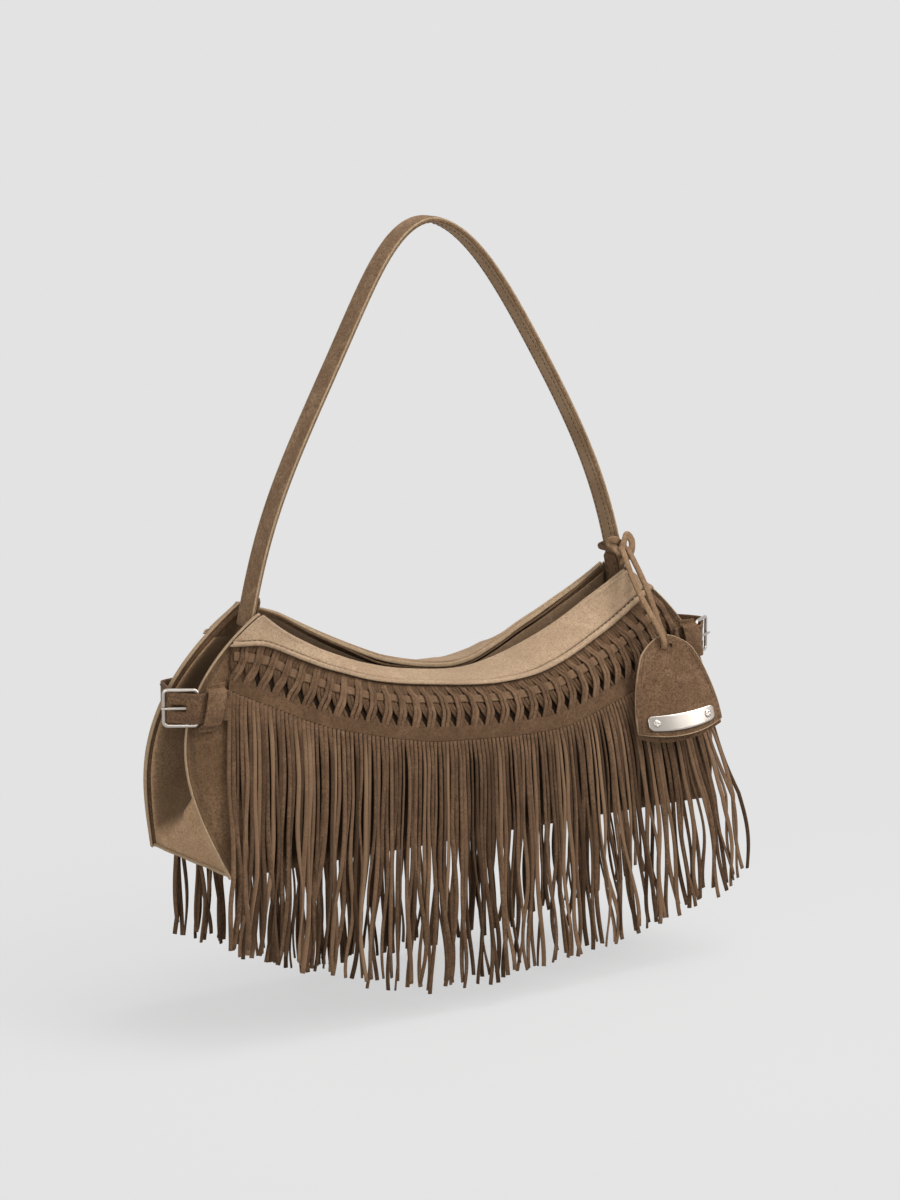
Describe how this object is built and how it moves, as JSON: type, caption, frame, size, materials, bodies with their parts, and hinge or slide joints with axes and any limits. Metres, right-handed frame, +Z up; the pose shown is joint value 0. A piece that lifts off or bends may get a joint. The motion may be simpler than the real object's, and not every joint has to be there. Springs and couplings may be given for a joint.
{
  "type": "fringed suede shoulder bag",
  "caption": "Wide suede shoulder bag with a braided band, a long cut fringe front and back, an arched strap, side buckles and a hanging tag.",
  "frame": {"origin": "underside of the strap at the top of its arch, where the bag hangs", "axes": "+X towards the end that carries the tag, +Y to the back, +Z up"},
  "size_m": [0.4328, 0.1316, 0.4811],
  "materials": {
    "suede": "napped suede",
    "light_suede": "napped suede, brushed light",
    "dark_suede": "napped suede, brushed dark",
    "leather": "smooth leather",
    "cloth": "woven cotton",
    "silver": "polished"
  },
  "bodies": {
    "bag": {"front_panel": "suede", "back_panel": "suede", "front_yoke": "light_suede", "back_yoke": "light_suede", "front_facing": "leather", "back_facing": "leather", "front_fringe": "dark_suede", "back_fringe": "dark_suede", "front_thong": "dark_suede", "back_thong": "dark_suede", "base_panel": "suede", "lining": "cloth", "snap_socket": "silver", "snap_stud": "silver", "strap_cover": "suede", "strap_core": "cloth", "strap_lining": "leather", "left_gusset": "dark_suede", "right_gusset": "dark_suede", "left_strap_tab": "suede", "right_strap_tab": "suede", "left_belt": "suede", "right_belt": "suede", "left_chape": "suede", "right_chape": "suede", "left_keeper": "suede", "right_keeper": "suede", "left_buckle_frame": "silver", "right_buckle_frame": "silver", "left_buckle_prong": "silver", "right_buckle_prong": "silver", "lace_knot": "suede"},
    "tag": {"tag_lace": "suede", "tag_front": "suede", "tag_back": "suede", "tag_plate": "silver", "tag_screw_left": "silver", "tag_screw_right": "silver"}
  },
  "joints": [
    {"name": "tag_swing", "type": "hinge", "parent": "bag", "child": "tag", "pos_m": [0.14947, -0.01376, -0.22185], "axis": [-1, 0, 0], "range_deg": [0, 75]}
  ]
}
